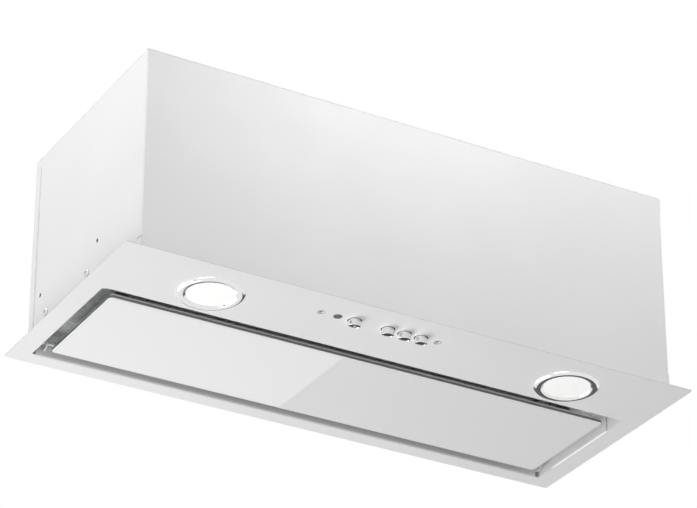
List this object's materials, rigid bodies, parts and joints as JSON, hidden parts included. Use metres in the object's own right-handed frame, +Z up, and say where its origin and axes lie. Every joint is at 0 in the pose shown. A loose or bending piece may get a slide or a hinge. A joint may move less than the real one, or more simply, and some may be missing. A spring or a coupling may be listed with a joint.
{
  "type": "built-in range hood",
  "caption": "Range hood for a cupboard or ceiling cut-out: white steel casing, hinged glass panel over the filter, round lamps, push buttons and a duct collar on top.",
  "frame": {"origin": "centre of the rim's upper face, which bears on the surface round the cut-out", "axes": "+X along the hood's width, -Y towards the push buttons, +Z up into the cupboard"},
  "size_m": [0.7, 0.3, 0.297],
  "materials": {
    "white_paint": "smooth white powder coat, satin",
    "galvanised": "zinc-coated sheet, dull",
    "white_glass": "toughened glass, painted white on its back, polished edges",
    "chrome": "bright chrome plating",
    "lamp_lens": "frosted diffuser",
    "dark_plastic": "black moulded plastic",
    "grey_plastic": "grey moulded plastic",
    "mesh": "expanded aluminium layers",
    "steel": "zinc-plated steel",
    "motor_steel": "drawn steel can",
    "indicator": "smoked translucent lens",
    "magnet": "ferrite in a steel cup"
  },
  "bodies": {
    "housing": {"base_frame": "white_paint", "cable_gland": "dark_plastic", "capacitor": "grey_plastic", "catch_magnets": "magnet", "connection_box": "dark_plastic", "filter_frame": "mesh", "filter_mesh": "mesh", "filter_tray": "galvanised", "flap_pin": "steel", "front_panel": "white_paint", "hinge_brackets": "galvanised", "indicator_lens": "indicator", "lamp_bezels": "chrome", "lamp_clips": "steel", "lamp_driver": "grey_plastic", "lamp_housings": "grey_plastic", "lamp_lenses": "lamp_lens", "left_side_panel": "white_paint", "motor": "motor_steel", "motor_bracket": "galvanised", "outlet_collar": "dark_plastic", "rear_panel": "white_paint", "right_side_panel": "white_paint", "row_screws": "steel", "scroll_left": "grey_plastic", "scroll_right": "grey_plastic", "side_screws": "steel", "switch_block": "dark_plastic", "switch_bracket": "galvanised", "top_panel": "white_paint"},
    "panel": {"glass_panel": "white_glass", "panel_carrier": "white_paint", "hinge_arms": "galvanised", "catch_plates": "steel"},
    "rotor": {"impeller": "galvanised", "motor_shaft": "steel"},
    "front_flap": {"front_flap": "dark_plastic"},
    "rear_flap": {"rear_flap": "dark_plastic"},
    "latch": {"filter_latch": "grey_plastic"},
    "light_button": {"light_button": "chrome"},
    "speed_button_1": {"speed_button_1": "chrome"},
    "speed_button_2": {"speed_button_2": "chrome"},
    "speed_button_3": {"speed_button_3": "chrome"}
  },
  "joints": [
    {"name": "panel_hinge", "type": "hinge", "parent": "housing", "child": "panel", "pos_m": [0, 0.1165, 0.009], "axis": [1, 0, 0], "range_deg": [0, 90]},
    {"name": "impeller_spin", "type": "hinge", "parent": "housing", "child": "rotor", "pos_m": [0, -0.014, 0.143], "axis": [1, 0, 0], "continuous": true},
    {"name": "front_flap_hinge", "type": "hinge", "parent": "housing", "child": "front_flap", "pos_m": [0, 0.036, 0.246], "axis": [-1, 0, 0], "range_deg": [0, 80]},
    {"name": "rear_flap_hinge", "type": "hinge", "parent": "housing", "child": "rear_flap", "pos_m": [0, 0.036, 0.246], "axis": [1, 0, 0], "range_deg": [0, 80]},
    {"name": "latch_slide", "type": "slide", "parent": "housing", "child": "latch", "axis": [0, 1, 0], "range_m": [0, 0.0044], "stiffness_N_per_m": 400, "springref_m": -0.004},
    {"name": "light_button_push", "type": "slide", "parent": "housing", "child": "light_button", "axis": [0, 0, 1], "range_m": [0, 0.004], "stiffness_N_per_m": 250, "springref_m": -0.004},
    {"name": "speed_button_1_push", "type": "slide", "parent": "housing", "child": "speed_button_1", "axis": [0, 0, 1], "range_m": [0, 0.004], "stiffness_N_per_m": 250, "springref_m": -0.004},
    {"name": "speed_button_2_push", "type": "slide", "parent": "housing", "child": "speed_button_2", "axis": [0, 0, 1], "range_m": [0, 0.004], "stiffness_N_per_m": 250, "springref_m": -0.004},
    {"name": "speed_button_3_push", "type": "slide", "parent": "housing", "child": "speed_button_3", "axis": [0, 0, 1], "range_m": [0, 0.004], "stiffness_N_per_m": 250, "springref_m": -0.004}
  ]
}
